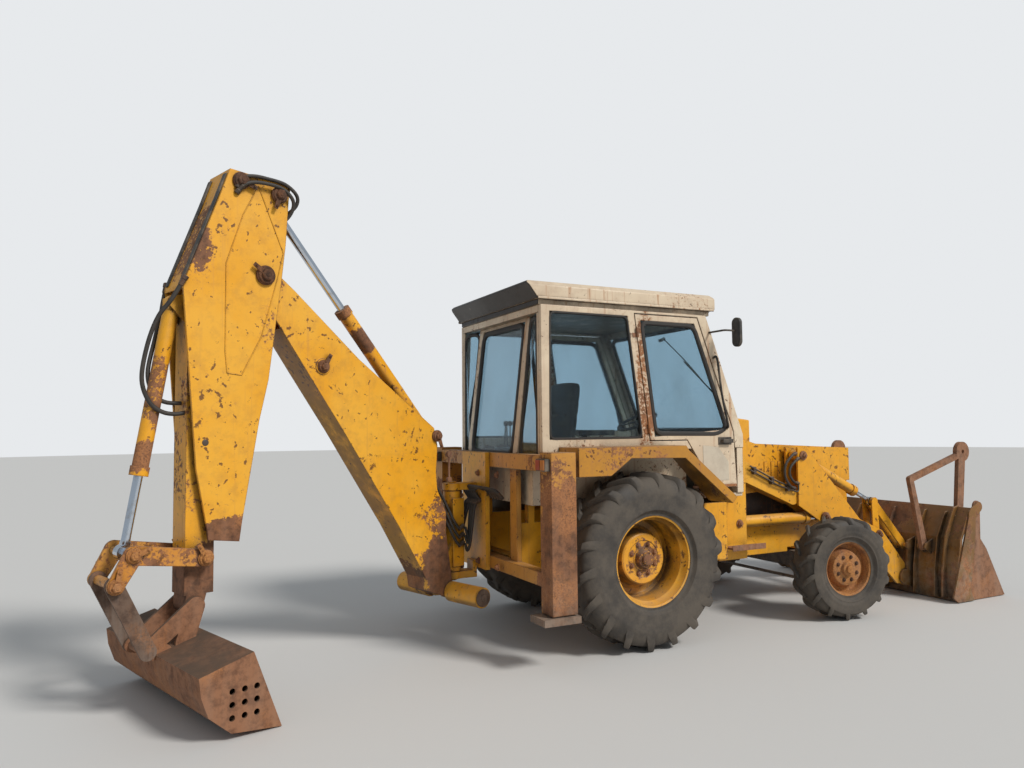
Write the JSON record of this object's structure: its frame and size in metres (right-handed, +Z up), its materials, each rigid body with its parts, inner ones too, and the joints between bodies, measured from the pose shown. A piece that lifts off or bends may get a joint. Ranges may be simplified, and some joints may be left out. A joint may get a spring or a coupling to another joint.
{
  "type": "backhoe loader",
  "caption": "Backhoe loader with a glazed cab, a clam shovel on front arms and a side-shift backhoe with a sliding dipper and a wide bucket.",
  "frame": {"origin": "on the ground under the middle of the whole machine, backhoe and shovel included", "axes": "+X forward to the shovel, +Y to the machine's left, +Z up"},
  "size_m": [8.352, 2.5746, 3.551],
  "materials": {
    "yellow_paint": "weathered gloss paint with chips and rust",
    "rusted_steel": "worn paint over brown rust",
    "chrome_rod": "polished hard chrome",
    "leg_steel": "bare worn steel",
    "cream_paint": "faded cream paint with rust runs",
    "pane_glass": "clear toughened glass",
    "dark_iron": "oily dark castings",
    "black_trim": "faded black plastic",
    "seat_cloth": "worn dark seat cloth",
    "tyre_rubber": "dusty worn rubber"
  },
  "bodies": {
    "machine": {"chassis": "yellow_paint", "engine_block": "dark_iron", "scuttle": "yellow_paint", "radiator_cowl": "yellow_paint", "lamps": "black_trim", "front_axle": "dark_iron", "rear_axle": "dark_iron", "side_tanks": "yellow_paint", "rear_frame": "rusted_steel", "mudguards": "yellow_paint", "cab_tub": "cream_paint", "cab_frame": "cream_paint", "cab_roof": "cream_paint", "cab_glass": "pane_glass", "seat": "seat_cloth", "controls": "black_trim", "mirrors": "black_trim"},
    "bonnet": {"bonnet": "yellow_paint"},
    "door_left": {"door_left": "cream_paint", "door_glass_left": "pane_glass"},
    "door_right": {"door_right": "cream_paint", "door_glass_right": "pane_glass"},
    "wheel_rear_left": {"tyre_rear_left": "tyre_rubber", "rim_rear_left": "yellow_paint"},
    "wheel_rear_right": {"tyre_rear_right": "tyre_rubber", "rim_rear_right": "yellow_paint"},
    "wheel_front_left": {"tyre_front_left": "tyre_rubber", "rim_front_left": "rusted_steel"},
    "wheel_front_right": {"tyre_front_right": "tyre_rubber", "rim_front_right": "rusted_steel"},
    "knuckle_left": {"knuckle_left": "dark_iron"},
    "knuckle_right": {"knuckle_right": "dark_iron"},
    "track_rod": {"track_rod": "dark_iron"},
    "stabiliser_left": {"stabiliser_left": "leg_steel"},
    "stabiliser_right": {"stabiliser_right": "leg_steel"},
    "carriage": {"carriage": "yellow_paint"},
    "kingpost": {"kingpost": "yellow_paint"},
    "boom": {"boom": "yellow_paint"},
    "boom_ram_barrel": {"boom_ram_barrel": "yellow_paint"},
    "boom_ram_rod": {"boom_ram_rod": "chrome_rod"},
    "dipper": {"dipper_outer": "yellow_paint"},
    "dipper_ram_barrel": {"dipper_ram_barrel": "yellow_paint"},
    "dipper_ram_rod": {"dipper_ram_rod": "chrome_rod"},
    "dipper_slide": {"dipper_inner": "yellow_paint"},
    "bucket_ram_barrel": {"bucket_ram_barrel": "yellow_paint"},
    "bucket_ram_rod": {"bucket_ram_rod": "chrome_rod"},
    "levers": {"tipping_levers": "yellow_paint"},
    "links": {"tipping_links": "rusted_steel"},
    "bucket": {"hoe_bucket": "rusted_steel"},
    "loader": {"loader_arms": "yellow_paint"},
    "lift_barrels": {"lift_ram_barrels": "yellow_paint"},
    "lift_rods": {"lift_ram_rods": "chrome_rod"},
    "tilt_levers": {"tilt_levers": "yellow_paint"},
    "tilt_barrels": {"tilt_ram_barrels": "yellow_paint"},
    "tilt_rods": {"tilt_ram_rods": "chrome_rod"},
    "tilt_links": {"tilt_links": "yellow_paint"},
    "shovel": {"shovel_back": "yellow_paint"},
    "clam": {"shovel_clam": "rusted_steel"},
    "forks": {"fork_frames": "rusted_steel"}
  },
  "joints": [
    {"name": "wheel_rear_left_spin", "type": "hinge", "parent": "machine", "child": "wheel_rear_left", "pos_m": [-0.19, 0.965, 0.705], "axis": [0, 1, 0], "continuous": true},
    {"name": "wheel_rear_right_spin", "type": "hinge", "parent": "machine", "child": "wheel_rear_right", "pos_m": [-0.19, -0.775, 0.705], "axis": [0, 1, 0], "continuous": true},
    {"name": "steer", "type": "hinge", "parent": "machine", "child": "knuckle_left", "pos_m": [2, 0.885, 0.465], "axis": [0, 0, 1], "range_deg": [-20, 40]},
    {"name": "steer_follow", "type": "hinge", "parent": "machine", "child": "knuckle_right", "pos_m": [2, -0.695, 0.465], "axis": [0, 0, 1], "range_deg": [-21, 41]},
    {"name": "track_rod_swing", "type": "hinge", "parent": "knuckle_right", "child": "track_rod", "pos_m": [1.79319, -0.65853, 0.33], "axis": [0, 0, 1], "range_deg": [-41, 21]},
    {"name": "wheel_front_left_spin", "type": "hinge", "parent": "knuckle_left", "child": "wheel_front_left", "pos_m": [2.03386, 1.07704, 0.465], "axis": [0.1736, 0.9848, 0], "continuous": true},
    {"name": "wheel_front_right_spin", "type": "hinge", "parent": "knuckle_right", "child": "wheel_front_right", "pos_m": [1.96614, -0.88704, 0.465], "axis": [0.1736, 0.9848, 0], "continuous": true},
    {"name": "stabiliser_left_lower", "type": "slide", "parent": "machine", "child": "stabiliser_left", "axis": [0, 0, -1], "range_m": [0, 0.5]},
    {"name": "stabiliser_right_lower", "type": "slide", "parent": "machine", "child": "stabiliser_right", "axis": [0, 0, -1], "range_m": [0, 0.5]},
    {"name": "side_shift", "type": "slide", "parent": "machine", "child": "carriage", "axis": [0, 1, 0], "range_m": [-0.65, 0.4]},
    {"name": "slew", "type": "hinge", "parent": "carriage", "child": "kingpost", "pos_m": [-1.43587, 0.24208, 0.9], "axis": [0, 0, 1], "range_deg": [-108, 72]},
    {"name": "boom_lift", "type": "hinge", "parent": "kingpost", "child": "boom", "pos_m": [-1.55, 0.205, 0.42], "axis": [-0.309, 0.9511, 0], "range_deg": [-60, 10]},
    {"name": "boom_ram_swing", "type": "hinge", "parent": "kingpost", "child": "boom_ram_barrel", "pos_m": [-1.52147, 0.21427, 1.01], "axis": [-0.309, 0.9511, 0], "range_deg": [-65.52, 12.17]},
    {"name": "boom_ram_stroke", "type": "slide", "parent": "boom_ram_barrel", "child": "boom_ram_rod", "axis": [-0.6779, -0.2203, 0.7014], "range_m": [-0.10466, 0.56325]},
    {"name": "dipper_swing", "type": "hinge", "parent": "boom", "child": "dipper", "pos_m": [-3.16299, -0.31909, 2.851], "axis": [-0.309, 0.9511, 0], "range_deg": [-20, 65]},
    {"name": "dipper_ram_swing", "type": "hinge", "parent": "boom", "child": "dipper_ram_barrel", "pos_m": [-1.69266, 0.15865, 1.715], "axis": [-0.309, 0.9511, 0], "range_deg": [-2.15, 6.58]},
    {"name": "dipper_ram_stroke", "type": "slide", "parent": "dipper_ram_barrel", "child": "dipper_ram_rod", "axis": [-0.613, -0.1992, 0.7646], "range_m": [-0.63174, 0.2056]},
    {"name": "dipper_extend", "type": "slide", "parent": "dipper", "child": "dipper_slide", "axis": [0, 0, -1], "range_m": [0, 1]},
    {"name": "bucket_crowd", "type": "hinge", "parent": "dipper_slide", "child": "bucket", "pos_m": [-3.58051, -0.45475, 0.65], "axis": [0.309, -0.9511, 0], "range_deg": [-45, 75]},
    {"name": "lever_swing", "type": "hinge", "parent": "dipper_slide", "child": "levers", "pos_m": [-3.54722, -0.44394, 0.96], "axis": [0.309, -0.9511, 0], "range_deg": [-29.79, 48.64]},
    {"name": "link_swing", "type": "hinge", "parent": "levers", "child": "links", "pos_m": [-4.05698, -0.60957, 0.855], "axis": [0.309, -0.9511, 0], "range_deg": [-14.74, 9.03]},
    {"name": "bucket_ram_swing", "type": "hinge", "parent": "dipper_slide", "child": "bucket_ram_barrel", "pos_m": [-3.70129, -0.494, 2.62], "axis": [0.309, -0.9511, 0], "range_deg": [-1.31, 2.14]},
    {"name": "bucket_ram_stroke", "type": "slide", "parent": "bucket_ram_barrel", "child": "bucket_ram_rod", "axis": [-0.1624, -0.0528, -0.9853], "range_m": [-0.21826, 0.35633]},
    {"name": "loader_lift", "type": "hinge", "parent": "machine", "child": "loader", "pos_m": [1.01, 0.095, 1.43], "axis": [0, -1, 0], "range_deg": [-2, 58]},
    {"name": "lift_ram_swing", "type": "hinge", "parent": "machine", "child": "lift_barrels", "pos_m": [1.08, 0.095, 0.88], "axis": [0, -1, 0], "range_deg": [-2.9, 53.56]},
    {"name": "lift_ram_stroke", "type": "slide", "parent": "lift_barrels", "child": "lift_rods", "axis": [1, 0, -0.009], "range_m": [-0.02867, 0.52862]},
    {"name": "shovel_tilt", "type": "hinge", "parent": "loader", "child": "shovel", "pos_m": [3.32, 0.095, 0.19], "axis": [0, 1, 0], "range_deg": [-22, 50]},
    {"name": "tilt_lever_swing", "type": "hinge", "parent": "loader", "child": "tilt_levers", "pos_m": [2.96, 0.095, 0.65], "axis": [0, 1, 0], "range_deg": [-26.35, 57.82]},
    {"name": "tilt_link_swing", "type": "hinge", "parent": "tilt_levers", "child": "tilt_links", "pos_m": [2.95, 0.095, 0.98], "axis": [0, 1, 0], "range_deg": [-50.22, 22.89]},
    {"name": "tilt_ram_swing", "type": "hinge", "parent": "loader", "child": "tilt_barrels", "pos_m": [1.92, 0.095, 1.48], "axis": [0, 1, 0], "range_deg": [-2.83, 1.29]},
    {"name": "tilt_ram_stroke", "type": "slide", "parent": "tilt_barrels", "child": "tilt_rods", "axis": [0.8996, 0, -0.4367], "range_m": [-0.14301, 0.31372]},
    {"name": "clam_open", "type": "hinge", "parent": "shovel", "child": "clam", "pos_m": [3.795, 0.095, 0.93], "axis": [0, -1, 0], "range_deg": [0, 70]},
    {"name": "forks_fold", "type": "hinge", "parent": "shovel", "child": "forks", "pos_m": [3.4, 0.095, 0.52], "axis": [0, -1, 0], "range_deg": [0, 55]},
    {"name": "door_left_swing", "type": "hinge", "parent": "machine", "child": "door_left", "pos_m": [-0.025, 0.907, 1.63], "axis": [-0.1274, 0, 0.9919], "range_deg": [0, 75]},
    {"name": "door_right_swing", "type": "hinge", "parent": "machine", "child": "door_right", "pos_m": [-0.025, -0.717, 1.63], "axis": [0.1274, 0, -0.9919], "range_deg": [0, 75]},
    {"name": "bonnet_lift", "type": "hinge", "parent": "machine", "child": "bonnet", "pos_m": [1.305, 0.095, 1.655], "axis": [0, -1, 0], "range_deg": [0, 45]}
  ],
  "couplings": [
    {"joint": "steer_follow", "follows": "steer", "ratio": 1},
    {"joint": "track_rod_swing", "follows": "steer", "ratio": -1},
    {"joint": "boom_ram_swing", "follows": "boom_lift", "ratio": 1.067},
    {"joint": "boom_ram_stroke", "follows": "boom_lift", "m_per_rad": -0.52551},
    {"joint": "dipper_ram_swing", "follows": "dipper_swing", "ratio": 0.098596},
    {"joint": "dipper_ram_stroke", "follows": "dipper_swing", "m_per_rad": -0.54258},
    {"joint": "lever_swing", "follows": "bucket_crowd", "ratio": 0.62833},
    {"joint": "link_swing", "follows": "bucket_crowd", "ratio": -0.19037},
    {"joint": "bucket_ram_swing", "follows": "bucket_crowd", "ratio": 0.027577},
    {"joint": "bucket_ram_stroke", "follows": "bucket_crowd", "m_per_rad": 0.2637},
    {"joint": "lift_ram_swing", "follows": "loader_lift", "ratio": 0.90467},
    {"joint": "lift_ram_stroke", "follows": "loader_lift", "m_per_rad": 0.51152},
    {"joint": "tilt_lever_swing", "follows": "shovel_tilt", "ratio": 1.124},
    {"joint": "tilt_link_swing", "follows": "shovel_tilt", "ratio": -0.97615},
    {"joint": "tilt_ram_swing", "follows": "shovel_tilt", "ratio": -0.054833},
    {"joint": "tilt_ram_stroke", "follows": "shovel_tilt", "m_per_rad": 0.34932}
  ]
}
